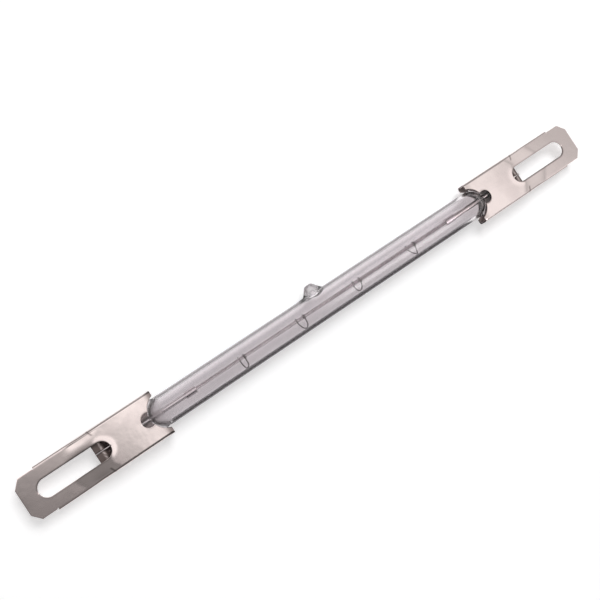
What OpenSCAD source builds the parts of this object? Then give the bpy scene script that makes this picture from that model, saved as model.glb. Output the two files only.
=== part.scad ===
// Quartz heating tube: a sealed clear lamp tube with a tungsten coil on its axis and a folded
// sheet-metal cap with a long slot on each end.
// Frame: X runs along the tube, Y across the caps, Z is square to the cap faces.
// The origin is on the tube's axis, half way along it, and the exhaust tip points to +Y.

/* [Tube] */
// Overall length over the two caps
overall_length = 220; // [200:1:300]
// Outside diameter of the quartz tube
tube_d = 10; // [9:0.1:11]
// Wall thickness of the quartz tube
tube_wall = 1; // [0.8:0.05:1.3]
// Thickness of the flat pinch seal at each end
pinch_t = 4; // [3.4:0.1:4.4]
// Width of the flat pinch seal
pinch_w = 11; // [10:0.1:12]
// Radius of the round shoulder that the tube closes with at each seal
shoulder_r = 6; // [5.6:0.1:7]
// Distance of the exhaust tip from mid-length, towards the left cap
tip_offset = 2.3; // [0:0.1:8]
// Height of the exhaust tip above the tube's wall
tip_height = 3; // [1.5:0.1:4]
// Radius of the exhaust tip's foot on the tube
tip_foot_r = 4.2; // [3.4:0.1:4.4]

/* [End caps] */
// Length of a cap from its mouth to its outer edge
cap_length = 47.2; // [44:0.1:54]
// Width of a cap
cap_w = 15; // [14:0.1:17]
// Thickness of the nickel-plated sheet
sheet_t = 0.45; // [0.3:0.05:0.6]
// Width of the slot
slot_w = 5.8; // [4.6:0.1:6.4]
// Length of the slot between its round ends, in the top layer
slot_length = 24.15; // [20:0.05:26]
// Metal left between the slot and the outer edge
slot_margin = 5.15; // [4:0.05:7]
// Length of the single-layer tongue past the folded sides
tongue_length = 7.4; // [6:0.1:9]
// Width of the tongue
tongue_w = 13.2; // [11:0.1:13.6]
// Corner cut of the tongue
tongue_corner = 2.3; // [1:0.1:3]
// Outside radius of the folds along the box part
fold_r = 0.9; // [0.7:0.05:1.1]
// Radius of the arc that is cut out of the mouth, round the tube's shoulder
mouth_cut_r = 6; // [5.7:0.1:6.4]
// Radius of the small notch in the face, over the seal
notch_r = 2.25; // [1.6:0.05:2.4]
// Depth of the notch from the mouth
notch_depth = 7; // [5:0.1:9]
// Length past the slot's inner end over which the face comes down to the flat
face_run = 7.3; // [5:0.1:12]
// Length past the slot's inner end over which the flaps below rise to the flat
flap_run = 2.8; // [2:0.1:4]
// How far past the slot's inner end the flaps are cut back to
flap_cut_back = 5.2; // [4.2:0.1:6]

/* [Heater] */
// Outside diameter of the tungsten coil
coil_d = 1.35; // [1.1:0.05:1.6]
// Diameter of the coil's wire
coil_wire_d = 0.42; // [0.3:0.02:0.46]
// Number of turns
coil_turns = 90; // [60:1:100]
// Outside diameter of the sleeves at the coil's ends
sleeve_d = 2.4; // [2.1:0.1:2.8]
// Length of such a sleeve
sleeve_length = 3.8; // [3:0.1:5]
// Diameter of the lead inside the tube
inner_lead_d = 1.8; // [1.2:0.05:1.9]
// Distance from the cap's mouth in to the sleeve's end
sleeve_setback = 8.5; // [6:0.1:12]
// Length of the foil in the seal
foil_length = 6.1; // [4:0.1:7]
// Width of the foil
foil_w = 2.4; // [1.6:0.1:4]
// Diameter of the lead inside the cap
outer_lead_d = 0.6; // [0.5:0.05:0.8]
// Diameter of the support wires
support_wire_d = 0.34; // [0.2:0.02:0.4]
// Distance from the coil's ends in to the outer supports
support_margin = 18.2; // [10:0.1:30]
// Distance from the middle of the four supports to mid-length
support_shift = 0.8; // [0:0.1:3]

/* [Hidden] */
$fn = 96;

glass_colour = [0.85, 0.82, 0.86, 0.45];
nickel_colour = [0.80, 0.76, 0.76];
tungsten_colour = [0.42, 0.39, 0.41];
molybdenum_colour = [0.62, 0.60, 0.61];

// How far a cut runs past what it cuts
over = 1;
// Thickness of the slices that a hull spans
slice = 0.01;

// Stations along X, from the right cap's outer edge back to its mouth
cap_end = overall_length / 2;
cap_mouth = cap_end - cap_length;
tongue_start = cap_end - tongue_length;
slot_r = slot_w / 2;
slot_outer = cap_end - slot_margin;
slot_inner = slot_outer - slot_length;
// The face starts to come down just before the slot's arch and is flat beside the slot
box_end = slot_inner - 0.2;
face_flat = slot_inner + face_run;
// The flaps below rise more steeply, and are cut back to a square edge that the lead is welded to
flap_flat = slot_inner + flap_run;
lower_edge = slot_inner + flap_cut_back;

// Heights of the sheet about the axis
fold_gap = 0.1;
box_inner_half = pinch_t / 2;
box_half = box_inner_half + sheet_t;
seam_gap = 0.2;

// The mouth is cut back in an arc round the tube's shoulder, with a small notch over the pinch
mouth_cut_x = cap_mouth - 1.9;
notch_apex = cap_mouth + notch_depth;

// The tube's ends: the shoulder comes down to the seal's thickness just inside the mouth's arc
tube_r = tube_d / 2;
bore_r = tube_r - tube_wall;
shoulder_gap = 0.1;
shoulder_reach = sqrt(pow(shoulder_r, 2) - pow(shoulder_r - tube_r + pinch_t / 2, 2));
shoulder_start = mouth_cut_x + mouth_cut_r - shoulder_gap - shoulder_reach;
pinch_end = slot_inner - 2.2;
// The seal widens from inside the round tube's wall to its full width
wall_cover = 0.4;
flare_start = shoulder_start - 1.6;
flare_end = flare_start + shoulder_r;
flare_half = sqrt(pow(tube_r, 2) - pow(pinch_t / 2, 2)) - wall_cover;
pinch_chamfer = 0.8;
foil_end = pinch_end - 2;
foil_start = foil_end - foil_length;
foil_t = 0.1;
// The exhaust tip is melted off round over this radius
tip_top_r = 1;

// The leads: the outer one rises with the flaps and lies on them up to their edge
inner_lead_r = inner_lead_d / 2;
outer_lead_r = outer_lead_d / 2;
weld_gap = 0.005;
lead_rise = outer_lead_r - fold_gap / 2 + weld_gap;
lead_bend = pinch_end + 0.5;

// The heater
coil_r = coil_d / 2;
wire_r = coil_wire_d / 2;
sleeve_end = cap_mouth - sleeve_setback;
sleeve_start = sleeve_end - sleeve_length;
coil_end = (sleeve_start + sleeve_end) / 2;

// The supports: half the width of each hairpin, how square its bend is and how far it leans
support_wire_r = support_wire_d / 2;
support_pitch = (2 * coil_end - 2 * support_margin) / 3;
support_halves = [0.8, 1.25, 1.2, 1.3];
support_squareness = [3.2, 2.3, 2, 1.35];
support_leans = [-27, -29, 27, -28];
support_turns_front = 1;
support_turns_behind = 0.5;
support_gap = 0.18;
wrap_gap = 0.01;

// Sweep of a round wire along points: the section is carried from one point to the next untwisted
function unit(v) = v / norm(v);
function squared_up(n, t) = unit(n - (n * t) * t);
function tangents(p) = [for (i = [0:len(p) - 1]) unit(p[min(i + 1, len(p) - 1)] - p[max(i - 1, 0)])];
function carried(n, t) = [for (i = 0, m = squared_up(n, t[0]); i < len(t);
    i = i + 1, m = i < len(t) ? squared_up(m, t[i]) : m) m];

module wire(path, r, sides, start_normal) {
    t = tangents(path);
    n = carried(start_normal, t);
    count = len(path);
    points = [for (i = [0:count - 1], k = [0:sides - 1])
        path[i] + r * (cos(360 * k / sides) * n[i] + sin(360 * k / sides) * cross(t[i], n[i]))];
    walls = [for (i = [0:count - 2], k = [0:sides - 1])
        [i * sides + k, i * sides + (k + 1) % sides, (i + 1) * sides + (k + 1) % sides, (i + 1) * sides + k]];
    first = [for (k = [sides - 1:-1:0]) k];
    last = [for (k = [0:sides - 1]) (count - 1) * sides + k];
    polyhedron(points, [for (f = concat([first, last], walls)) [for (k = [len(f) - 1:-1:0]) f[k]]]);
}

// A shape drawn for the right end, put on either end
module at_end(side) {
    if (side > 0) children();
    else mirror([1, 0, 0]) children();
}

// Something extruded along X between two stations, its outline drawn in Y and Z
module along_x(x0, x1) {
    translate([x0, 0, 0]) rotate([90, 0, 90]) linear_extrude(height = x1 - x0) children();
}

// Rounded outline with its own top and bottom
module rounded(width, z0, z1, r) {
    height = z1 - z0;
    translate([0, (z0 + z1) / 2]) {
        square([width - 2 * r, height], center = true);
        if (height > 2 * r + 0.001) square([width, height - 2 * r], center = true);
        for (y = [-1, 1], z = [-1, 1]) translate([y * (width / 2 - r), z * (height / 2 - r)]) circle(r);
    }
}

module rod_x(x0, x1, r) {
    translate([x0, 0, 0]) rotate([0, 90, 0]) cylinder(h = x1 - x0, r = r);
}

// Height of the face at station x, on its straight way down from the box to the flat
function face_height(x, box, flat) = box + (flat - box) * (x - box_end) / (face_flat - box_end);

// The space that the folded sheet encloses, grown by t: the outside of the cap, or its inside at t = 0
module sleeve_form(t, x0, x1) {
    width = cap_w - 2 * sheet_t + 2 * t;
    r = fold_r - sheet_t + t;
    top = box_inner_half + t;
    flat = fold_gap / 2 + t;
    mid = face_height(flap_flat, top, flat);
    mid_r = min(r, (mid + flat) / 2);
    along_x(x0, box_end) rounded(width, -top, top, r);
    hull($fn = 24) {
        along_x(box_end - slice, box_end) rounded(width, -top, top, r);
        along_x(flap_flat, flap_flat + slice) rounded(width, -flat, mid, mid_r);
    }
    hull($fn = 24) {
        along_x(flap_flat, flap_flat + slice) rounded(width, -flat, mid, mid_r);
        along_x(face_flat, face_flat + slice) rounded(width, -flat, flat, flat);
    }
    along_x(face_flat, x1) rounded(width, -flat, flat, flat);
}

module tongue() {
    w = tongue_w / 2;
    translate([0, 0, fold_gap / 2]) linear_extrude(height = sheet_t)
        polygon([[tongue_start - over, -w], [cap_end - tongue_corner, -w], [cap_end, -w + tongue_corner],
            [cap_end, w - tongue_corner], [cap_end - tongue_corner, w], [tongue_start - over, w]]);
}

// The slot with its round ends, in the face only
module slot_top() {
    linear_extrude(height = 2 * box_half) {
        translate([slot_inner + slot_r, -slot_r]) square([slot_length - slot_w, slot_w]);
        translate([slot_inner + slot_r, 0]) circle(slot_r);
        translate([slot_outer - slot_r, 0]) circle(slot_r);
    }
}

// The same slot in the folded-under flaps: square at the weld, open at the flaps' ends
module slot_bottom() {
    translate([lower_edge, -slot_r, -2 * box_half])
        cube([tongue_start - lower_edge + over, slot_w, 2 * box_half]);
}

// The arc goes through face and flaps, the notch through the face only
module mouth_cut() {
    translate([mouth_cut_x, 0, -2 * box_half]) cylinder(h = 4 * box_half, r = mouth_cut_r);
    translate([notch_apex - notch_r, 0, 0]) cylinder(h = 2 * box_half, r = notch_r);
}

module seam() {
    translate([cap_mouth - over, -seam_gap / 2, -2 * box_half])
        cube([lower_edge - cap_mouth + 2 * over, seam_gap, 2 * box_half]);
}

// One blank: a smooth face, two sides folded down and under, and a seam where they meet below
module end_cap(side) {
    color(nickel_colour) at_end(side) difference() {
        union() {
            sleeve_form(sheet_t, cap_mouth, tongue_start);
            tongue();
        }
        sleeve_form(0, cap_mouth - over, tongue_start + over);
        slot_top();
        slot_bottom();
        mouth_cut();
        seam();
    }
}

// From the foil along the axis, then up in an easy bend to lie on the flaps
module outer_lead(side) {
    bend_steps = 10;
    bend = [for (i = [0:bend_steps]) let (s = i / bend_steps)
        [lead_bend + s * (flap_flat - lead_bend), 0, lead_rise * s * s * (3 - 2 * s)]];
    color(molybdenum_colour) at_end(side)
        wire(concat([[foil_end, 0, 0]], bend, [[lower_edge, 0, lead_rise]]), outer_lead_r, 12, [0, 1, 0]);
}

module inner_lead(side) {
    color(molybdenum_colour) at_end(side) rod_x(coil_end, foil_start, inner_lead_r);
}

module foil(side) {
    color(molybdenum_colour) at_end(side)
        translate([foil_start, -foil_w / 2, -foil_t / 2]) cube([foil_end - foil_start, foil_w, foil_t]);
}

module coil_sleeve(side) {
    color(tungsten_colour) at_end(side) difference() {
        rod_x(sleeve_start, sleeve_end, sleeve_d / 2);
        rod_x(sleeve_start - over, coil_end, coil_r);
        rod_x(coil_end, sleeve_end + over, inner_lead_r);
    }
}

module heating_coil() {
    steps = 8;
    mean_r = coil_r - wire_r;
    run = 2 * (coil_end - wire_r);
    count = coil_turns * steps;
    path = [for (i = [0:count]) let (a = 360 * i / steps)
        [-run / 2 + run * i / count, mean_r * cos(a), mean_r * sin(a)]];
    color(tungsten_colour) wire(path, wire_r, 4, [0, 1, 0]);
}

// Share of the half width, or of the depth, on the outline |x/w|^n + |y/d|^n = 1: v is the angle's
// cosine or sine
function pin_share(v, n) = sign(v) * pow(abs(v), 2 / n);

// A wire wound round the coil, bent down to the wall in a hairpin that passes from the coil's front to
// behind it, and wound on there
module coil_support(index) {
    half = support_halves[index];
    n = support_squareness[index];
    wrap_steps = 12;
    bend_steps = 18;
    wrap_r = (coil_r + support_wire_r + wrap_gap) / cos(180 / wrap_steps);
    wrap_pitch = 2.3 * support_wire_r;
    depth = bore_r - support_wire_r - support_gap;
    front = [for (i = [wrap_steps * support_turns_front:-1:0]) let (a = 360 * i / wrap_steps)
        [half + wrap_pitch * i / wrap_steps, wrap_r * sin(a), wrap_r * cos(a)]];
    bend = [for (i = [1:bend_steps - 1]) let (a = 180 * i / bend_steps, c = pin_share(cos(a), n))
        [half * c, -depth * pin_share(sin(a), n), wrap_r * c]];
    behind = [for (i = [0:wrap_steps * support_turns_behind]) let (a = 360 * i / wrap_steps)
        [-half - wrap_pitch * i / wrap_steps, wrap_r * sin(a), -wrap_r * cos(a)]];
    place = support_shift + (index - 1.5) * support_pitch;
    color(tungsten_colour) translate([place, 0, 0]) rotate([support_leans[index], 0, 0])
        wire(concat(front, bend, behind), support_wire_r, 6, [1, 0, 0]);
}

// Half outline of a round body whose end closes in an arc of radius round, from its side to its axis
function domed_half(r, start, round) = let (steps = 14, last = acos((round - r) / round))
    [for (i = [0:steps]) let (a = last * i / steps) [r - round + round * cos(a), start + round * sin(a)]];

// A round bar about the X axis, domed at both ends
module domed_bar(r, start, round) {
    rotate([0, 90, 0]) rotate_extrude()
        polygon(concat([[0, 0], [r, 0]], domed_half(r, start, round)));
    rotate([0, -90, 0]) rotate_extrude()
        polygon(concat([[0, 0], [r, 0]], domed_half(r, start, round)));
}

// Plan of the flat seal, from inside the round tube to its outer end
module pinch_plan() {
    half = [[flare_start, flare_half], [flare_end, pinch_w / 2], [pinch_end - pinch_chamfer, pinch_w / 2],
        [pinch_end, pinch_w / 2 - pinch_chamfer]];
    polygon(concat(half, [for (i = [len(half) - 1:-1:0]) [half[i][0], -half[i][1]]]));
}

// The exhaust tip's height at radius r: a smooth bell that ends on the tube's side
function tip_at(r, root) = let (s = max(0, r - tip_top_r) / (tip_foot_r - tip_top_r))
    root + (tube_r + tip_height - root) * (1 - s * s * (3 - 2 * s));

module exhaust_tip() {
    root = sqrt(pow(tube_r, 2) - pow(tip_foot_r, 2));
    steps = 12;
    translate([-tip_offset, 0, 0]) rotate([-90, 0, 0]) rotate_extrude()
        polygon(concat([[0, root]],
            [for (i = [steps:-1:0]) let (r = tip_foot_r * i / steps) [r, tip_at(r, root)]]));
}

// Clear quartz, sealed: drawn round tube, pinched ends round the foils, and the melted-off exhaust tip
module quartz_tube() {
    color(glass_colour) difference() {
        union() {
            domed_bar(tube_r, shoulder_start, shoulder_r);
            for (side = [-1, 1]) at_end(side)
                translate([0, 0, -pinch_t / 2]) linear_extrude(height = pinch_t) pinch_plan();
            exhaust_tip();
        }
        domed_bar(bore_r, shoulder_start, shoulder_r - tube_wall);
        for (side = [-1, 1]) at_end(side) {
            rod_x(shoulder_start, foil_start, inner_lead_r);
            translate([foil_start, -foil_w / 2, -foil_t / 2]) cube([foil_end - foil_start, foil_w, foil_t]);
            rod_x(foil_end, pinch_end + over, outer_lead_r);
        }
    }
}

quartz_tube();
heating_coil();
coil_sleeve(-1);  // coil_sleeve_left
coil_sleeve(1);  // coil_sleeve_right
coil_support(0);  // support_1
coil_support(1);  // support_2
coil_support(2);  // support_3
coil_support(3);  // support_4
inner_lead(-1);  // inner_lead_left
inner_lead(1);  // inner_lead_right
foil(-1);  // foil_left
foil(1);  // foil_right
outer_lead(-1);  // outer_lead_left
outer_lead(1);  // outer_lead_right
end_cap(-1);  // end_cap_left
end_cap(1);  // end_cap_right
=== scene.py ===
import math

import bmesh
import bpy
import numpy as np
from mathutils import Matrix, Vector


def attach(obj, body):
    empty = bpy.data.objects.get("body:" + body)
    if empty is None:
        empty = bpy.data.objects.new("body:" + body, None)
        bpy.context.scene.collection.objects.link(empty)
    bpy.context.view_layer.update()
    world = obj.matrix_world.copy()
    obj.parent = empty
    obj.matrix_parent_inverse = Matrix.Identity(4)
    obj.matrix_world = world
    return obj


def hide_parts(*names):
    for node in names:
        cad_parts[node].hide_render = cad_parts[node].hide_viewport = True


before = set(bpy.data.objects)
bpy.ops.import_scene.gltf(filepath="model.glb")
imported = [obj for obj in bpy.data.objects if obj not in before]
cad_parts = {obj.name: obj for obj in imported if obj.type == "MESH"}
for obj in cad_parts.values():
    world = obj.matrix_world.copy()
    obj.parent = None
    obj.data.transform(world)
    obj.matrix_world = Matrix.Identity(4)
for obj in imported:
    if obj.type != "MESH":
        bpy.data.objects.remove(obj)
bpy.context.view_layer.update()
print("frame loaded:", len(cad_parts), "solids")

mm = 0.001  # lengths below are in millimetres about the middle of the tube


# Value that eases from 0 at a to 1 at b and stays level outside: 3t^2 - 2t^3 of the share t of the way
def eased(x, a, b):
    t = np.clip((np.asarray(x, float) - a) / (b - a), 0.0, 1.0)
    return t * t * (3.0 - 2.0 * t)


# Larger of two lengths with their corner filled: max(a, b) + (k - |a - b|)^2 / 4k where they are within k
def filletedMax(a, b, k):
    near = np.clip(k - np.abs(a - b), 0.0, None)
    return np.maximum(a, b) + near * near / (4.0 * k)


# Faces of a grid of rows by columns of points, where point (r, c) has number r * columns + c
def gridFaces(rows, columns, roundColumns=False):
    r = np.arange(rows - 1)[:, None]
    c = np.arange(columns if roundColumns else columns - 1)[None, :]
    right = (c + 1) % columns
    return np.stack([r * columns + c, (r + 1) * columns + c, (r + 1) * columns + right, r * columns + right],
                    axis=-1).reshape(-1, 4)


# Puts points in millimetres and faces into a smooth-shaded mesh object at the world origin
def makePiece(name, points, faces, weld=0.0, values=None):
    mesh = bpy.data.meshes.new(name)
    mesh.from_pydata((np.asarray(points, float).reshape(-1, 3) * mm).tolist(), [], [list(f) for f in faces])
    for key, data in (values or {}).items():
        mesh.attributes.new(key, "FLOAT", "POINT").data.foreach_set("value", np.asarray(data, float).ravel())
    if weld:
        work = bmesh.new()
        work.from_mesh(mesh)
        bmesh.ops.remove_doubles(work, verts=work.verts, dist=weld * mm)
        bmesh.ops.dissolve_degenerate(work, edges=work.edges, dist=weld * mm)
        work.to_mesh(mesh)
        work.free()
    mesh.polygons.foreach_set("use_smooth", np.ones(len(mesh.polygons), bool))
    mesh.update()
    piece = bpy.data.objects.new(name, mesh)
    bpy.context.scene.collection.objects.link(piece)
    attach(piece, "root")
    return piece


# Grid of rings closed to a tube, with one middle point at each end
def closedTube(rings):
    count, sides = rings.shape[:2]
    points = np.concatenate([rings.reshape(-1, 3), rings[0].mean(axis=0)[None], rings[-1].mean(axis=0)[None]])
    walls = gridFaces(count, sides, roundColumns=True)[:, ::-1]
    here = np.arange(sides)
    following = (here + 1) % sides
    first = np.stack([np.full(sides, count * sides), following, here], axis=-1)
    base = (count - 1) * sides
    last = np.stack([np.full(sides, count * sides + 1), base + here, base + following], axis=-1)
    return points, [*walls.tolist(), *first.tolist(), *last.tolist()]


# Round wire along a path: each ring lies square to the path, turned from the guide direction given there
def sweptWire(path, guides, radius, sides):
    ahead = np.gradient(path, axis=0)
    ahead /= np.linalg.norm(ahead, axis=1)[:, None]
    normals = guides - (guides * ahead).sum(axis=1)[:, None] * ahead
    normals /= np.linalg.norm(normals, axis=1)[:, None]
    sideways = np.cross(ahead, normals)
    a = 2.0 * np.pi * np.arange(sides) / sides
    return closedTube(path[:, None] + radius * (np.cos(a)[None, :, None] * normals[:, None]
                                                + np.sin(a)[None, :, None] * sideways[:, None]))


tube = {
    "radius": 5.0,
    "boreRadius": 4.0,
    "domeStart": 61.6,      # where the round wall starts to close
    "domeRound": 6.0,       # radius of the closing profile; the bore's is parallel to it
    "pinchStart": 60.0,
    "pinchFull": 66.0,
    "pinchEnd": 78.5,
    "pinchHalfWidth": 5.5,
    "pinchHalfHeight": 2.0,
    "fillet": 0.9,
    "cloudFrom": (59.5, 64.5),          # where the worked quartz turns cloudy
    "tipX": -2.3,
    "tipHeight": 3.0,
    "tipTop": 0.75,         # radius of the tip's round top, and of its foot
    "tipFoot": 4.1,
    "slices": 144,
}


# Closing profile: radius R - F + sqrt(F^2 - d^2) at the distance d past the start, down to nothing
def domeRadius(far, radius, start, fillet):
    d = np.clip(far - start, 0.0, None)
    return np.clip(radius - fillet + np.sqrt(np.clip(fillet ** 2 - d ** 2, 0.0, None)), 0.0, radius)


# Adds the exhaust tip on +Y: height h * (1 - eased(r)) over the distance r from its middle
def raiseTip(points, height, top, foot):
    away = np.hypot(points[..., 0] - tube["tipX"], points[..., 2])
    points[..., 1] += np.where(points[..., 1] > 0.0, height * (1.0 - eased(away, top, foot)), 0.0)


# Glass: at each station a circle and a rounded flat bar, |y/a|^8 + |z/b|^8 = 1, joined by a fillet
def makeTube():
    a = np.linspace(0.0, 2.0 * np.pi, tube["slices"], endpoint=False)
    a = (a - 0.45 * np.sin(a))[None, :]
    closing = tube["domeStart"] + 5.95 * np.sin(np.linspace(0.0, np.pi / 2, 46))
    rounding = tube["pinchEnd"] - 0.8 + 0.8 * np.sin(np.linspace(0.0, np.pi / 2, 7))
    half = np.concatenate([np.linspace(6.0, 58.0, 20), np.linspace(59.0, tube["domeStart"] - 0.2, 12), closing,
                           np.linspace(67.9, 76.9, 9), rounding])
    x = np.concatenate([-half[::-1], np.linspace(-5.7, 5.7, 90), half])[:, None]
    far = np.abs(x)
    ending = 1.0 - np.sqrt(1.0 - np.clip((far - tube["pinchEnd"] + 0.8) / 0.8, 0.0, 0.98) ** 2)
    wide = tube["pinchHalfWidth"] - 1.7 * (1.0 - eased(far, tube["pinchStart"], tube["pinchFull"])) - 0.7 * ending
    high = tube["pinchHalfHeight"] - 0.7 * ending
    bar = ((np.abs(np.cos(a)) / wide) ** 8 + (np.abs(np.sin(a)) / high) ** 8) ** -0.125
    bar = np.where(far < tube["pinchStart"], 0.0, bar)
    circle = domeRadius(far, tube["radius"], tube["domeStart"], tube["domeRound"])
    r = filletedMax(circle + 0.0 * a, bar, tube["fillet"])
    outer = np.stack([x + 0.0 * a, r * np.cos(a), r * np.sin(a)], axis=-1)
    raiseTip(outer, tube["tipHeight"], tube["tipTop"], tube["tipFoot"])
    wall = tube["radius"] - tube["boreRadius"]
    closing = tube["domeStart"] + 4.88 * np.sin(np.linspace(0.0, np.pi / 2, 40))
    half = np.concatenate([np.linspace(6.0, tube["domeStart"] - 0.3, 24), closing])
    x = np.concatenate([-half[::-1], np.linspace(-5.7, 5.7, 60), half])[:, None]
    r = domeRadius(np.abs(x), tube["boreRadius"], tube["domeStart"], tube["domeRound"] - wall) + 0.02
    inner = np.stack([x + 0.0 * a, r * np.cos(a), r * np.sin(a)], axis=-1)
    raiseTip(inner, 1.5, 0.2, 1.5)
    outerPoints, outerFaces = closedTube(outer)
    innerPoints, innerFaces = closedTube(inner)
    shift = len(outerPoints)
    faces = outerFaces + [[shift + k for k in f[::-1]] for f in innerFaces]
    points = np.concatenate([outerPoints, innerPoints])
    worked = eased(np.abs(points[:, 0]), *tube["cloudFrom"]) * np.where(points[:, 0] < 0, 1.0, 0.45)
    atTip = 1.0 - eased(np.hypot(points[:, 0] - tube["tipX"], points[:, 2]), 3.0, 5.0)
    worked = np.maximum(worked, 0.6 * atTip * (points[:, 1] > 3.6))
    piece = makePiece("quartzTube", points, faces, values={"pinched": worked})
    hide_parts("quartz_tube")
    return piece


coil = {
    "radius": 0.675,
    "wireRadius": 0.15,
    "halfLength": 52.2,
    "turns": 244,
    "stepsPerTurn": 16,
    "sides": 6,
}


# Helix: x runs evenly along the axis while the wire turns at a constant radius
def makeCoil():
    steps = coil["turns"] * coil["stepsPerTurn"]
    t = np.arange(steps + 1) / steps
    a = 2.0 * np.pi * coil["turns"] * t
    outward = np.stack([0.0 * a, np.cos(a), np.sin(a)], axis=-1)
    path = (coil["radius"] - coil["wireRadius"]) * outward
    path[:, 0] = coil["halfLength"] * (2.0 * t - 1.0)
    piece = makePiece("heatingCoil", *sweptWire(path, outward, coil["wireRadius"], coil["sides"]))
    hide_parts("heating_coil")
    return piece


supports = {
    "pitch": 22.8,
    "shift": 0.8,
    "wireRadius": 0.17,
    "halfWidths": (0.8, 1.25, 1.2, 1.3),
    "roundness": (3.2, 2.3, 2.0, 1.35),     # 2 is a half ellipse, more is squarer, less is a V
    "leans": (-27.0, -29.0, 27.0, -28.0),
    "depth": 3.82,
    "turns": (1.05, 0.4),                   # round the coil in front, and behind
    "sides": 8,
}


# Hairpin |x/w|^p + |u/d|^p = 1 below the coil, in front of it on one side and behind it on the other,
# wound on at both ends as helices; the whole is leant about the tube's axis
def makeSupport(index):
    w = supports["halfWidths"][index]
    r = supports["wireRadius"]
    wrap = coil["radius"] + r + 0.01
    power = 2.0 / supports["roundness"][index]
    turn = np.pi * np.arange(1, 48) / 48.0
    c, s = np.cos(turn), np.sin(turn)
    depth = supports["depth"] - r
    pin = np.stack([w * np.sign(c) * np.abs(c) ** power, -depth * s ** power, wrap * np.sign(c) * np.abs(c) ** power],
                   axis=-1)
    guides = np.tile([0.0, 0.0, 1.0], (len(pin), 1))
    parts, ways = [pin], [guides]
    for side, turns in zip((1.0, -1.0), supports["turns"]):
        a = 2.0 * np.pi * turns * np.arange(int(30 * turns) + 1) / int(30 * turns)
        wound = np.stack([side * (w + 2.3 * r * a / (2.0 * np.pi)), wrap * np.sin(a), side * wrap * np.cos(a)], axis=-1)
        outward = np.stack([0.0 * a, side * np.sin(a), np.cos(a)], axis=-1)
        parts = [wound[::-1], *parts] if side > 0 else [*parts, wound]
        ways = [outward[::-1], *ways] if side > 0 else [*ways, outward]
    lean = math.radians(supports["leans"][index])
    turned = np.array([[1, 0, 0], [0, math.cos(lean), math.sin(lean)], [0, -math.sin(lean), math.cos(lean)]])
    place = supports["shift"] + (index - 1.5) * supports["pitch"]
    path = np.concatenate(parts) @ turned + (place, 0, 0)
    piece = makePiece("supportWire%d" % (index + 1),
                      *sweptWire(path, np.concatenate(ways) @ turned, r, supports["sides"]))
    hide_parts("support_%d" % (index + 1))
    return piece


cap = {
    "mouth": 62.8,
    "end": 110.0,
    "halfWidth": 7.5,
    "foldStart": 6.6,
    "sheet": 0.45,
    "boxHalf": 2.45,
    "flatHalf": 0.5,
    "boxRadius": 0.84,
    "slotInner": 80.7,
    "slotOuter": 104.85,
    "slotRadius": 2.9,
    "lowerEdge": (85.9, 84.4),      # where the flaps are cut back to, left and right
    "lowerBend": (80.3, 83.5),      # where the flaps below rise from the box to the flat
    "foldBend": 80.8,               # where the face starts to come down at the folds, and how much later
    "middleLag": 3.4,               # it does in the middle
    "bendRun": 10.5,
    "tongueStart": 102.6,
    "tongueHalf": 7.0,
    "tongueCorner": (2.3, 2.7),
    "mouthArc": (60.9, 6.0),
    "notch": (67.54, 2.262),
    "seam": 0.1,
    "rimRise": 0.14,
    "curl": 0.05,
    "curlRun": 0.8,
}


# Height of the cap's smooth upper face: level over the box, eased down to the flat, sooner at the folds
# than in the middle by a parabola, and raised at the arch's rim by a bell curve of the distance from it
def topHeight(x, y):
    start = cap["foldBend"] + cap["middleLag"] * (1.0 - (y / cap["halfWidth"]) ** 2)
    down = 0.5 * (eased(x, start, start + cap["bendRun"])
                  + eased(x, start - 1.0, start + cap["bendRun"] + 1.0))
    z = cap["boxHalf"] + (cap["flatHalf"] - cap["boxHalf"]) * down
    toArch = np.abs(np.hypot(x - cap["slotInner"] - cap["slotRadius"], y) - cap["slotRadius"])
    facing = 1.0 - eased(x, cap["slotInner"] + 1.0, cap["slotInner"] + 5.0)
    return z + cap["rimRise"] * np.exp(-(toArch / 0.84) ** 2) * facing - curlIn(x)


# Height of the two flaps' face below: level under the box, then up to the flat past the bend
def bottomHeight(x, y):
    up = eased(x, *cap["lowerBend"])
    return -cap["boxHalf"] + (cap["boxHalf"] - cap["flatHalf"]) * up + curlIn(x) + 0.0 * y


# The mouth's rim turns in over its last millimetre, as a parabola
def curlIn(x):
    return cap["curl"] * np.clip((cap["mouth"] + cap["curlRun"] - x) / cap["curlRun"], 0.0, 1.0) ** 2


# Points evenly along a circle's arc between two angles in degrees, the first one left out
def arcPoints(centre, radius, fromAngle, toAngle, count):
    a = np.radians(np.linspace(fromAngle, toAngle, count + 1)[1:])
    return np.stack([centre + radius * np.cos(a), radius * np.sin(a)], axis=-1)


# Points evenly along a straight line, the first one left out
def linePoints(start, finish, count):
    t = np.linspace(0.0, 1.0, count + 1)[1:, None]
    return (1.0 - t) * np.array(start, float) + t * np.array(finish, float)


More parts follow.
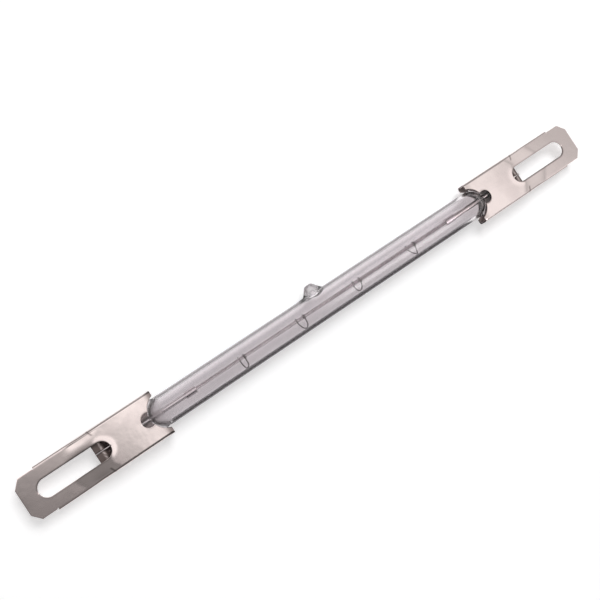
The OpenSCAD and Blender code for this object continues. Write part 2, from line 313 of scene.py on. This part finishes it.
# Outlines of half a cap in plan, with the same number of points on each: the upper face's cut-outs, its
# outside, the line where the fold starts, and the lower flap's cut-outs
def halfCap(side):
    lowerEdge = cap["lowerEdge"][0 if side < 0 else 1]
    mouth, end = cap["mouth"], cap["end"]
    mouthX, mouthR = cap["mouthArc"]
    notchX, notchR = cap["notch"]
    slotR = cap["slotRadius"]
    slotA = cap["slotInner"] + slotR
    slotB = cap["slotOuter"] - slotR
    meetX = (mouthR ** 2 - notchR ** 2 + notchX ** 2 - mouthX ** 2) / (2.0 * (notchX - mouthX))
    meetY = math.sqrt(mouthR ** 2 - (meetX - mouthX) ** 2)
    fromMouth = math.degrees(math.acos((mouth - mouthX) / mouthR))
    toNotch = math.degrees(math.atan2(meetY, meetX - mouthX))
    notchAngle = math.degrees(math.atan2(meetY, meetX - notchX))
    tailAngle = math.degrees(math.acos((cap["tongueStart"] - slotB) / slotR))
    start = np.array([[mouth, mouthR * math.sin(math.radians(fromMouth))]])
    counts = {"mouth": 14, "notch": 12, "bridge": 26, "arch": 22, "rail": 40, "tail": 4, "turn": 14, "tip": 14}
    wall = cap["foldStart"]
    topInner = np.concatenate([
        start, arcPoints(mouthX, mouthR, fromMouth, toNotch, counts["mouth"]),
        arcPoints(notchX, notchR, notchAngle, 0.0, counts["notch"]),
        linePoints((notchX + notchR, 0), (cap["slotInner"], 0), counts["bridge"]),
        arcPoints(slotA, slotR, 180.0, 90.0, counts["arch"]),
        linePoints((slotA, slotR), (slotB, slotR), counts["rail"]),
        arcPoints(slotB, slotR, 90.0, tailAngle, counts["tail"]),
        arcPoints(slotB, slotR, tailAngle, 0.0, counts["turn"]),
        linePoints((cap["slotOuter"], 0), (end, 0), counts["tip"])])
    outline = [np.array([[mouth, wall]])]
    before = mouth
    for x, part in ((66.2, "mouth"), (69.4, "notch"), (80.0, "bridge"), (84.9, "arch"), (101.6, "rail"),
                    (cap["tongueStart"], "tail")):
        outline.append(linePoints((before, wall), (x, wall), counts[part]))
        before = x
    foldLine = np.concatenate(outline)
    cornerX = end - cap["tongueCorner"][0]
    tongue = cap["tongueHalf"]
    topOuter = np.concatenate([foldLine, linePoints((before, tongue), (cornerX, tongue), counts["turn"]),
                               linePoints((cornerX, tongue), (end, tongue - cap["tongueCorner"][1]), counts["tip"])])
    seam = cap["seam"]
    bottomInner = np.concatenate([
        start, arcPoints(mouthX, mouthR, fromMouth, 0.0, counts["mouth"]),
        linePoints((mouthX + mouthR, seam), (notchX + notchR, seam), counts["notch"]),
        linePoints((notchX + notchR, seam), (80.0, seam), counts["bridge"]),
        linePoints((80.0, seam), (lowerEdge, seam), counts["arch"] - 8),
        linePoints((lowerEdge, seam), (lowerEdge, slotR), 8),
        linePoints((lowerEdge, slotR), (101.9, slotR), counts["rail"]),
        linePoints((101.9, slotR), (cap["tongueStart"], slotR), counts["tail"])])
    bottomInner[:, 1] = np.maximum(bottomInner[:, 1], seam)
    return topInner, topOuter, foldLine, bottomInner


# Straight rows between two outlines with the same number of points
def ruled(inner, outer, columns):
    v = np.linspace(0.0, 1.0, columns)[None, :, None]
    return (1.0 - v) * inner[:, None] + v * outer[:, None]


# A cap from three strips on each side of its middle: the upper face, the fold and the lower flap.
# The fold's section goes out from the face, round a quarter circle, down the side, round and in below.
# The other end's cap is the same one turned half round, so its edges with painted shade lie on the other side.
def makeCap(side, name, node):
    topInner, topOuter, foldLine, bottomInner = halfCap(side)
    top = ruled(topInner, topOuter, 22)
    topGrid = np.concatenate([top, topHeight(top[..., 0], top[..., 1])[..., None]], axis=-1)
    bottom = ruled(foldLine, bottomInner, 14)
    bottomGrid = np.concatenate([bottom, bottomHeight(bottom[..., 0], bottom[..., 1])[..., None]], axis=-1)
    x = foldLine[:, 0]
    upper = topHeight(x, foldLine[:, 1])
    lower = bottomHeight(x, foldLine[:, 1])
    radius = np.minimum(cap["boxRadius"], (upper - lower) / 2.0 - 0.001)
    wide = cap["halfWidth"] - 0.2 * curlIn(x)
    quarter = np.radians(np.linspace(90.0, 0.0, 9))
    upperY = (wide - radius)[:, None] + radius[:, None] * np.cos(quarter)
    upperZ = (upper - radius)[:, None] + radius[:, None] * np.sin(quarter)
    lowerZ = (lower + radius)[:, None] - radius[:, None] * np.sin(quarter[::-1])
    y = np.concatenate([foldLine[:, 1:2], upperY, upperY[:, ::-1], foldLine[:, 1:2]], axis=1)
    z = np.concatenate([upper[:, None], upperZ, lowerZ, lower[:, None]], axis=1)
    foldGrid = np.stack([np.broadcast_to(x[:, None], y.shape), y, z], axis=-1)
    points, faces, shadeMarks, sootAndShades = [], [], [], []
    for mirrored in (1.0, -1.0):
        # The cut edges on one side of each cap take the full painted shade, those on the other side less
        edgeShadeStrength = 1.0 if mirrored * side < 0 else 0.45
        for grid in (topGrid, foldGrid, bottomGrid):
            shift = sum(len(p) for p in points)
            f = gridFaces(*grid.shape[:2]) + shift
            faces.append(f if mirrored * side > 0 else f[:, ::-1])
            points.append((grid * (side, mirrored, 1.0)).reshape(-1, 3))
            # Painted shade along the cut edges: how near a point of the face is to a cut edge, fading over a third of a
            # millimetre
            away = np.linalg.norm(grid - topGrid[:len(grid), :1], axis=-1) if grid is topGrid else 9.0 + 0.0 * grid[..., 0]
            cut = np.where(grid[..., :1, 1] > 0.05, 1.0, 0.0) * np.exp(-(away / 0.4) ** 2)
            # Painted shade at the mouth's rim: strong on the left cap, faint on the right cap's upper face
            atMouth = 0.9 if side < 0 else (0.3 if grid is topGrid else 0.0)
            rim = atMouth * (1.0 - eased(grid[..., 0], cap["mouth"] + 0.4, cap["mouth"] + 2.8))
            # Painted shade in a short crease that runs aslant across each fold where the box ends
            gx, gy = grid[..., 0], grid[..., 1]
            creaseShade = 0.7 * np.exp(-((gx - 83.9 - 0.45 * mirrored * (gy - 6.2)) / 0.3) ** 2) * eased(gy, 5.2, 5.9)
            creaseShade = creaseShade * (1.0 if grid is not bottomGrid else 0.0)
            shadeMarks.append(np.maximum(np.maximum(cut * edgeShadeStrength, rim), creaseShade).ravel())
            # The flaps are darkened brown under the arch, up to their cut edge, by soot and by painted shade, sparing
            # the bend's ridge as a painted highlight
            ridge = np.exp(-((grid[..., 0] - cap["lowerBend"][1] - 0.1) / 0.16) ** 2)
            sootAndShade = eased(grid[..., 0], 78.0, 80.0) * (1.0 - 0.75 * ridge) * (1.0 - eased(grid[..., 1], 3.4, 4.6))
            sootAndShades.append((sootAndShade if grid is bottomGrid else 0.0 * sootAndShade).ravel())
    piece = makePiece(name, np.concatenate(points), np.concatenate(faces).tolist(), weld=0.004,
                      values={"edgeShade": np.concatenate(shadeMarks), "sootAndArchShade": np.concatenate(sootAndShades)})
    thick = piece.modifiers.new("sheet", "SOLIDIFY")
    thick.thickness = cap["sheet"] * mm
    thick.offset = -1.0
    thick.material_offset = 1       # the inner side takes the second material
    rim = piece.modifiers.new("rim", "BEVEL")
    rim.width = 0.07 * mm
    rim.segments = 2
    rim.limit_method = "ANGLE"
    rim.angle_limit = math.radians(50)
    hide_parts(node)
    return piece


outerLead = {"start": 76.5, "bend": (79.0, 83.5), "rise": 0.255, "radius": 0.3, "sides": 16}


# From the foil along the axis, then eased up to lie on the flaps to their edge
def makeOuterLead(side, name, node):
    x = np.linspace(outerLead["start"], cap["lowerEdge"][0 if side < 0 else 1], 60)
    path = np.stack([side * x, 0.0 * x, outerLead["rise"] * eased(x, *outerLead["bend"])], axis=-1)
    points, faces = sweptWire(path, np.tile([0.0, 0.0, 1.0], (len(path), 1)), outerLead["radius"], outerLead["sides"])
    piece = makePiece(name, points, faces)
    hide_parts(node)
    return piece


tubePiece = makeTube()
print("quartz tube made")
coilPiece = makeCoil()
supportPieces = [makeSupport(i) for i in range(4)]
print("coil and supports made")
capPieces = [makeCap(-1.0, "endCapLeft", "end_cap_left"), makeCap(1.0, "endCapRight", "end_cap_right")]
outerLeads = [makeOuterLead(-1.0, "outerLeadLeft", "outer_lead_left"),
              makeOuterLead(1.0, "outerLeadRight", "outer_lead_right")]
print("end caps and their leads made")


# Adds a node and sets its inputs by name
def addNode(tree, kind, at=(0, 0), **values):
    made = tree.nodes.new(kind)
    made.location = at
    for key, value in values.items():
        made.inputs[key.replace("_", " ")].default_value = value
    return made


# Adds a Map Range node from one span to another
def addRange(tree, source, fromSpan, toSpan, at, smooth=False):
    made = addNode(tree, "ShaderNodeMapRange", at, From_Min=fromSpan[0], From_Max=fromSpan[1], To_Min=toSpan[0],
                   To_Max=toSpan[1])
    if smooth:
        made.interpolation_type = "SMOOTHSTEP"
    tree.links.new(source, made.inputs["Value"])
    return made.outputs["Result"]


def addMath(tree, operation, first, second, at):
    made = addNode(tree, "ShaderNodeMath", at)
    made.operation = operation
    for socket, value in zip(made.inputs, (first, second)):
        if isinstance(value, (int, float)):
            socket.default_value = value
        else:
            tree.links.new(value, socket)
    return made.outputs[0]


def addMix(tree, factor, first, second, at):
    made = addNode(tree, "ShaderNodeMix", at)
    made.data_type = "RGBA"
    tree.links.new(factor, made.inputs["Factor"])
    for socket, value in ((made.inputs["A"], first), (made.inputs["B"], second)):
        if isinstance(value, tuple):
            socket.default_value = (*value, 1.0)
        else:
            tree.links.new(value, socket)
    return made.outputs["Result"]


# Shared effect: cloudy smudges of handling and heat, as a mask, a value between two ends and a height
def makeSmudgeGroup():
    group = bpy.data.node_groups.new("smudges", "ShaderNodeTree")
    for name, kind, value in (("Place", "NodeSocketVector", None), ("Scale", "NodeSocketFloat", 100.0),
                              ("Low", "NodeSocketFloat", 0.0), ("High", "NodeSocketFloat", 1.0)):
        socket = group.interface.new_socket(name, in_out="INPUT", socket_type=kind)
        if value is not None:
            socket.default_value = value
    for name in ("Mask", "Level", "Height"):
        group.interface.new_socket(name, in_out="OUTPUT", socket_type="NodeSocketFloat")
    given = addNode(group, "NodeGroupInput", (-800, 0))
    out = addNode(group, "NodeGroupOutput", (500, 0))
    cloud = addNode(group, "ShaderNodeTexNoise", (-500, 0), Detail=3.0, Roughness=0.5)
    group.links.new(given.outputs["Place"], cloud.inputs["Vector"])
    group.links.new(given.outputs["Scale"], cloud.inputs["Scale"])
    mask = addRange(group, cloud.outputs["Fac"], (0.36, 0.66), (0.0, 1.0), (-250, 0), smooth=True)
    level = addNode(group, "ShaderNodeMapRange", (100, -100))
    group.links.new(mask, level.inputs["Value"])
    group.links.new(given.outputs["Low"], level.inputs["To Min"])
    group.links.new(given.outputs["High"], level.inputs["To Max"])
    group.links.new(mask, out.inputs["Mask"])
    group.links.new(level.outputs["Result"], out.inputs["Level"])
    group.links.new(cloud.outputs["Fac"], out.inputs["Height"])
    return group


# Shared effect: fine lines along X from drawing or rolling, as a mask and a height
def makeDrawnGroup():
    group = bpy.data.node_groups.new("drawnLines", "ShaderNodeTree")
    group.interface.new_socket("Place", in_out="INPUT", socket_type="NodeSocketVector")
    fine = group.interface.new_socket("Fineness", in_out="INPUT", socket_type="NodeSocketFloat")
    fine.default_value = 1500.0
    for name in ("Mask", "Height"):
        group.interface.new_socket(name, in_out="OUTPUT", socket_type="NodeSocketFloat")
    given = addNode(group, "NodeGroupInput", (-800, 0))
    out = addNode(group, "NodeGroupOutput", (300, 0))
    stretch = addNode(group, "ShaderNodeMapping", (-600, 0), Scale=(0.03, 1.0, 1.0))
    lines = addNode(group, "ShaderNodeTexNoise", (-300, 0), Detail=2.0, Roughness=0.6)
    group.links.new(given.outputs["Place"], stretch.inputs["Vector"])
    group.links.new(stretch.outputs["Vector"], lines.inputs["Vector"])
    group.links.new(given.outputs["Fineness"], lines.inputs["Scale"])
    mask = addRange(group, lines.outputs["Fac"], (0.4, 0.6), (0.0, 1.0), (0, 0))
    group.links.new(mask, out.inputs["Mask"])
    group.links.new(lines.outputs["Fac"], out.inputs["Height"])
    return group


smudges = makeSmudgeGroup()
drawnLines = makeDrawnGroup()


def newMaterial(name):
    material = bpy.data.materials.new(name)
    material.use_nodes = True
    tree = material.node_tree
    place = addNode(tree, "ShaderNodeTexCoord", (-1500, 0)).outputs["Object"]
    return material, tree, tree.nodes["Principled BSDF"], place


def addGroup(tree, group, place, at, **values):
    made = tree.nodes.new("ShaderNodeGroup")
    made.node_tree = group
    made.location = at
    for key, value in values.items():
        made.inputs[key].default_value = value
    tree.links.new(place, made.inputs["Place"])
    return made


def addBump(tree, height, shader, strength, distance, at):
    bump = addNode(tree, "ShaderNodeBump", at, Strength=strength, Distance=distance)
    tree.links.new(height, bump.inputs["Height"])
    tree.links.new(bump.outputs["Normal"], shader.inputs["Normal"])


nickelFinish = {
    "pale": (0.88, 0.78, 0.755),
    "dull": (0.82, 0.72, 0.70),
    # dark colour of the painted shade at the cut edges, the mouth's rim and the creases
    "edgeShadeColour": (0.16, 0.13, 0.125),
    # brown of the soot and painted shade on the flaps under the arch
    "sootAndShadeColour": (0.17, 0.13, 0.12),
    "smudgeScale": 110.0,
    "outside": (1.0, (0.10, 0.15)),         # share of metal and roughness, outside and inside the fold
    "inside": (0.45, (0.30, 0.40)),
    "waveStrength": 0.12,
    "waveDepth": 0.0003,
}


def nickelMaterial(name, metal, roughness):
    material, tree, shader, place = newMaterial(name)
    shader.inputs["Metallic"].default_value = metal
    cloud = addGroup(tree, smudges, place, (-1200, 100), Scale=nickelFinish["smudgeScale"],
                     Low=roughness[0], High=roughness[1])
    tone = addMix(tree, cloud.outputs["Mask"], nickelFinish["pale"], nickelFinish["dull"], (-800, 250))
    # Painted shade: this attribute darkens the cut edges, the mouth's rim and the creases
    edge = addNode(tree, "ShaderNodeAttribute", (-1000, 500))
    edge.attribute_name = "edgeShade"
    tone = addMix(tree, edge.outputs["Fac"], tone, nickelFinish["edgeShadeColour"], (-500, 300))
    # Soot and painted shade on the flaps under the arch, lighter at the bend's ridge
    sootAndShadeNode = addNode(tree, "ShaderNodeAttribute", (-700, 600))
    sootAndShadeNode.attribute_name = "sootAndArchShade"
    tone = addMix(tree, sootAndShadeNode.outputs["Fac"], tone, nickelFinish["sootAndShadeColour"], (-300, 300))
    tree.links.new(tone, shader.inputs["Base Color"])
    tree.links.new(cloud.outputs["Level"], shader.inputs["Roughness"])
    addBump(tree, cloud.outputs["Height"], shader, nickelFinish["waveStrength"], nickelFinish["waveDepth"], (-500, -300))
    return material


tungstenFinish = {"metal": 1.0, "pale": (0.95, 0.88, 0.90), "dark": (0.72, 0.66, 0.68), "roughness": (0.12, 0.2), "lines": 2500.0}
# A darker copy of the molybdenum for the outer leads and the right inner lead; on the right inner lead it is painted
# shade that keeps the lamp's highlight off
darkMolybdenumFinish = {"metal": 1.0, "pale": (0.80, 0.74, 0.74), "dark": (0.55, 0.48, 0.47), "roughness": (0.12, 0.2), "lines": 1800.0}
# The supports' tungsten is painted dark, painted shade for how dark the thin legs look
supportFinish = {"metal": 1.0, "pale": (0.30, 0.26, 0.27), "dark": (0.12, 0.10, 0.105), "roughness": (0.30, 0.42), "lines": 2500.0}
molybdenumFinish = {"metal": 0.8, "pale": (0.97, 0.92, 0.93), "dark": (0.80, 0.75, 0.77), "roughness": (0.14, 0.22), "lines": 1800.0}


# Drawn refractory wire: streaks along it, with smudges from the heat
def wireMaterial(name, finish):
    material, tree, shader, place = newMaterial(name)
    shader.inputs["Metallic"].default_value = finish["metal"]
    streaks = addGroup(tree, drawnLines, place, (-1200, 200), Fineness=finish["lines"])
    cloud = addGroup(tree, smudges, place, (-1200, -100), Scale=500.0, Low=finish["roughness"][0],
                     High=finish["roughness"][1])
    share = addMath(tree, "MULTIPLY", streaks.outputs["Mask"], 0.5, (-900, 200))
    share = addMath(tree, "ADD", share, addMath(tree, "MULTIPLY", cloud.outputs["Mask"], 0.5, (-900, 0)), (-700, 100))
    tree.links.new(addMix(tree, share, finish["pale"], finish["dark"], (-450, 100)), shader.inputs["Base Color"])
    tree.links.new(cloud.outputs["Level"], shader.inputs["Roughness"])
    addBump(tree, streaks.outputs["Height"], shader, 0.15, 0.00003, (-450, -200))
    return material


quartzFinish = {
    "tint": (0.893, 0.86, 0.876),
    "haze": (0.868, 0.836, 0.852),
    "index": 1.458,
    "roughness": (0.0, 0.008),
    "pinchRoughness": 0.4,
    "shadow": (0.05, 0.05, 0.05, 1),
}


def quartzMaterial():
    material, tree, shader, place = newMaterial("clearQuartz")
    shader.inputs["IOR"].default_value = quartzFinish["index"]
    shader.inputs["Transmission Weight"].default_value = 1.0
    cloud = addGroup(tree, smudges, place, (-1200, 0), Scale=60.0, Low=quartzFinish["roughness"][0],
                     High=quartzFinish["roughness"][1])
    tone = addMix(tree, cloud.outputs["Mask"], quartzFinish["tint"], quartzFinish["haze"], (-700, 200))
    tree.links.new(tone, shader.inputs["Base Color"])
    worked = addNode(tree, "ShaderNodeAttribute", (-900, -300))
    worked.attribute_name = "pinched"
    frosted = addMath(tree, "MULTIPLY", worked.outputs["Fac"], quartzFinish["pinchRoughness"], (-700, -300))
    tree.links.new(addMath(tree, "ADD", cloud.outputs["Level"], frosted, (-500, -200)), shader.inputs["Roughness"])
    ray = addNode(tree, "ShaderNodeLightPath", (-300, 500))
    film = addNode(tree, "ShaderNodeBsdfTransparent", (0, -500), Color=quartzFinish["shadow"])
    both = addNode(tree, "ShaderNodeMixShader", (300, 100))
    tree.links.new(ray.outputs["Is Shadow Ray"], both.inputs["Fac"])
    tree.links.new(shader.outputs[0], both.inputs[1])
    tree.links.new(film.outputs[0], both.inputs[2])
    tree.links.new(both.outputs[0], tree.nodes["Material Output"].inputs["Surface"])
    return material


def dress(piece, material):
    piece.data.materials.clear()
    piece.data.materials.append(material)


nickel = nickelMaterial("brightNickel", *nickelFinish["outside"])
innerNickel = nickelMaterial("dullNickel", *nickelFinish["inside"])
tungsten = wireMaterial("drawnTungsten", tungstenFinish)
supportMetal = wireMaterial("tungstenWithPaintedShade", supportFinish)
molybdenum = wireMaterial("drawnMolybdenum", molybdenumFinish)
darkMolybdenum = wireMaterial("darkerMolybdenum", darkMolybdenumFinish)
quartz = quartzMaterial()
dress(tubePiece, quartz)
dress(coilPiece, tungsten)
for piece in supportPieces:
    dress(piece, supportMetal)
for piece in capPieces:
    dress(piece, nickel)
    piece.data.materials.append(innerNickel)
for piece in outerLeads:
    dress(piece, darkMolybdenum)
for side in ("left", "right"):
    for part, material in (("inner_lead_", molybdenum), ("foil_", molybdenum), ("coil_sleeve_", tungsten)):
        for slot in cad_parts[part + side].material_slots:
            # The right inner lead takes the darker copy, painted shade in place of its highlight
            slot.material = darkMolybdenum if part + side == "inner_lead_right" else material
print("materials set")

floorLook = {
    "size": 3.0,
    "level": -0.0052,
    "colour": (0.90, 0.90, 0.905, 1),
    "ownLight": 0.46,
    "shareInMetal": 0.55,
}


def flatSheet(name, x, y, z):
    mesh = bpy.data.meshes.new(name)
    mesh.from_pydata([(x[0], y[0], z), (x[1], y[0], z), (x[1], y[1], z), (x[0], y[1], z)], [], [(0, 1, 2, 3)])
    sheet = bpy.data.objects.new(name, mesh)
    bpy.context.scene.collection.objects.link(sheet)
    return sheet


# Pale floor that is white to the camera and through the glass, and keeps the lamp's shadow
def makeFloor():
    size = floorLook["size"] / 2
    floor = flatSheet("floor", (-size, size), (-size, size), floorLook["level"])
    material, tree, shader, place = newMaterial("paleFloor")
    shader.inputs["Base Color"].default_value = floorLook["colour"]
    shader.inputs["Roughness"].default_value = 0.9
    shader.inputs["Emission Color"].default_value = (1, 1, 1, 1)
    ray = addNode(tree, "ShaderNodeLightPath", (-900, 0))
    seen = addMath(tree, "MAXIMUM", ray.outputs["Is Camera Ray"], ray.outputs["Is Transmission Ray"], (-700, 0))
    glossy = addMath(tree, "MULTIPLY", ray.outputs["Is Glossy Ray"], floorLook["shareInMetal"], (-700, -200))
    level = addMath(tree, "MULTIPLY", addMath(tree, "MAXIMUM", seen, glossy, (-500, 0)), floorLook["ownLight"], (-300, 0))
    tree.links.new(level, shader.inputs["Emission Strength"])
    dress(floor, material)


# Cards beside the tube that only glass and metal see, as painted shade: the dark one stands in for the floor's shade
# and draws the glass's lower edge, the grey one its upper edge
edgeCards = {
    "darkCard": {"x": (-0.0625, 0.0625), "y": (-0.022, -0.0058), "z": -0.0051, "colour": (0.12, 0.11, 0.115, 1)},
    "greyCard": {"x": (-0.0625, 0.0625), "y": (0.0062, 0.0120), "z": -0.0051, "colour": (0.40, 0.38, 0.39, 1)},
}


def makeEdgeCard(name, look):
    card = flatSheet(name, look["x"], look["y"], look["z"])
    material, tree, shader, place = newMaterial(name + "Paint")
    shader.inputs["Base Color"].default_value = look["colour"]
    shader.inputs["Roughness"].default_value = 0.9
    dress(card, material)
    card.visible_camera = False
    card.visible_diffuse = False
    card.visible_shadow = False


# What the metal sees overhead. Direction s = X + Y times a lean that is larger towards the left end, goes through the
# levels from dark past the left end to bright above and dimmer past the right end; the sides along Y and the horizon
# are dark, and one small bright lamp stands low on the -Y side
sky = {
    "leans": (1.85, 1.1, 0.45),             # how much Y counts in s, from the left end to the right end
    "leanSpans": ((-0.12, -0.06), (-0.05, -0.015)),
    "sides": (0.22, 0.62, 0.38),            # |Y| where the sky begins to fall, where it ends, its share there
    "span": (-0.5, 1.1),
    "levels": ((-0.5, 0.25), (-0.24, 0.20), (-0.19, 0.25), (-0.16, 0.36), (-0.12, 0.45), (-0.10, 0.39),
               (-0.079, 0.46), (-0.066, 0.62), (-0.05, 0.92), (-0.01, 1.18), (0.40, 1.05), (0.50, 1.02),
               (0.53, 0.86), (0.555, 0.68), (0.575, 0.58), (0.59, 0.52), (0.64, 0.64), (0.75, 0.76), (0.95, 0.80)),
    "tint": (1.0, 0.985, 0.98),
    "lampX": (0.24, 0.31, 0.43, 0.48),      # where the low lamp fades in and out, along X and along Y
    "lampY": (-0.80, -0.66, -0.44, -0.34),
    "lampLevel": 3.5,
    "fill": (1.0, 0.99, 0.99, 1),
    "fillLevel": 0.25,
}


def skyStrength(tree):
    direction = addNode(tree, "ShaderNodeTexCoord", (-1800, 0)).outputs["Generated"]
    parts = addNode(tree, "ShaderNodeSeparateXYZ", (-1600, 200))
    tree.links.new(direction, parts.inputs[0])
    atLeft, inMiddle, atRight = sky["leans"]
    lean = addMath(tree, "SUBTRACT",
                   addRange(tree, parts.outputs["X"], sky["leanSpans"][0], (atLeft, inMiddle), (-1600, 0), smooth=True),
                   addRange(tree, parts.outputs["X"], sky["leanSpans"][1], (0.0, inMiddle - atRight), (-1600, -200),
                            smooth=True), (-1500, -100))
    leant = addMath(tree, "MULTIPLY_ADD", parts.outputs["Y"], lean, (-1450, -100))
    tree.links.new(parts.outputs["X"], leant.node.inputs[2])
    low, high = sky["span"]
    along = addRange(tree, leant, sky["span"], (0.0, 1.0), (-1400, 0))
    ramp = addNode(tree, "ShaderNodeValToRGB", (-1200, 0))
    tree.links.new(along, ramp.inputs["Fac"])
    stops = ramp.color_ramp.elements
    stops[1].position = 1.0
    for s, level in sky["levels"][1:]:
        stops.new((s - low) / (high - low)).color = (level, level, level, 1)
    stops[0].color = (*[sky["levels"][0][1]] * 3, 1)
    stops[len(stops) - 1].color = (*[sky["levels"][-1][1]] * 3, 1)
    across = addMath(tree, "ABSOLUTE", parts.outputs["Y"], 0.0, (-1400, 500))
    aside = addRange(tree, across, sky["sides"][:2], (1.0, sky["sides"][2]), (-1200, 500), smooth=True)
    horizon = addRange(tree, parts.outputs["Z"], (-0.02, 0.22), (0.2, 1.0), (-1200, 900), smooth=True)
    level = addMath(tree, "MULTIPLY", ramp.outputs["Color"], aside, (-700, 200))
    level = addMath(tree, "MULTIPLY", level, horizon, (-500, 300))
    lamp = addRange(tree, parts.outputs["Z"], (0.0, 0.2), (0.0, sky["lampLevel"]), (-1100, -200), smooth=True)
    for axis, reach in (("X", sky["lampX"]), ("Y", sky["lampY"])):
        for span in (reach[:2], reach[:1:-1]):
            side = addRange(tree, parts.outputs[axis], span, (0.0, 1.0), (-1300, -400), smooth=True)
            lamp = addMath(tree, "MULTIPLY", lamp, side, (-900, -400))
    return addMath(tree, "ADD", level, lamp, (-300, 200))


# The world is white to the camera and behind the glass, the sky above to metal and to what leaves the
# glass upwards, and a soft fill to the rest
def makeWorld():
    world = bpy.data.worlds.new("studio")
    bpy.context.scene.world = world
    world.use_nodes = True
    tree = world.node_tree
    fill = tree.nodes["Background"]
    fill.inputs["Color"].default_value = sky["fill"]
    fill.inputs["Strength"].default_value = sky["fillLevel"]
    overhead = addNode(tree, "ShaderNodeBackground", (0, -200), Color=(*sky["tint"], 1))
    tree.links.new(skyStrength(tree), overhead.inputs["Strength"])
    white = addNode(tree, "ShaderNodeBackground", (0, -400), Color=(1, 1, 1, 1), Strength=1.0)
    ray = addNode(tree, "ShaderNodeLightPath", (-700, 500))
    mirrored = addMath(tree, "MINIMUM", ray.outputs["Glossy Depth"], 1.0, (-700, 700))
    outUp = addMath(tree, "MULTIPLY", ray.outputs["Is Transmission Ray"], mirrored, (-500, 700))
    outDown = addMath(tree, "SUBTRACT", ray.outputs["Is Transmission Ray"], outUp, (-300, 600))
    shiny = addNode(tree, "ShaderNodeMixShader", (200, 0))
    tree.links.new(addMath(tree, "MAXIMUM", ray.outputs["Is Glossy Ray"], outUp, (-100, 300)), shiny.inputs["Fac"])
    tree.links.new(fill.outputs[0], shiny.inputs[1])
    tree.links.new(overhead.outputs[0], shiny.inputs[2])
    both = addNode(tree, "ShaderNodeMixShader", (400, 0))
    seen = addMath(tree, "MAXIMUM", ray.outputs["Is Camera Ray"], outDown, (-100, 500))
    tree.links.new(seen, both.inputs["Fac"])
    tree.links.new(shiny.outputs[0], both.inputs[1])
    tree.links.new(white.outputs[0], both.inputs[2])
    tree.links.new(both.outputs[0], tree.nodes["World Output"].inputs["Surface"])


# Turns a thing at its place towards a point, its own right side level with the tube before the roll
def aim(thing, towards, roll=0.0):
    back = (Vector(thing.location) - Vector(towards)).normalized()
    right = Vector((0, 1, 0)).cross(back).normalized()
    turned = Matrix((right, back.cross(right), back)).transposed().to_4x4() @ Matrix.Rotation(roll, 4, "Z")
    thing.rotation_euler = turned.to_euler()


softbox = {"at": (0.42, 0.46, 1.02), "side": 0.6, "watts": 7.4}


def makeSoftbox():
    light = bpy.data.lights.new("softbox", "AREA")
    light.shape = "SQUARE"
    light.size = softbox["side"]
    light.energy = softbox["watts"]
    lamp = bpy.data.objects.new("softbox", light)
    bpy.context.scene.collection.objects.link(lamp)
    lamp.location = softbox["at"]
    lamp.visible_glossy = False
    lamp.visible_transmission = False
    aim(lamp, (0, 0, 0))


camera = {
    "position": (-65.32, 4.57, 236.03),
    "target": (-7.07, 5.23, 0.0),
    "lens": 45.0,
    "sensor": 36.0,
    "rollDegrees": 33.36,
}


def makeCamera():
    data = bpy.data.cameras.new("camera")
    data.lens = camera["lens"]
    data.sensor_width = camera["sensor"]
    data.clip_start = 0.01
    holder = bpy.data.objects.new("camera", data)
    bpy.context.scene.collection.objects.link(holder)
    holder.location = [v * mm for v in camera["position"]]
    aim(holder, [v * mm for v in camera["target"]], math.radians(-camera["rollDegrees"]))
    bpy.context.scene.camera = holder


makeFloor()
for name, look in edgeCards.items():
    makeEdgeCard(name, look)
makeWorld()
makeSoftbox()
makeCamera()
bpy.context.scene.view_settings.view_transform = "Standard"
print("floor, lights and camera set")
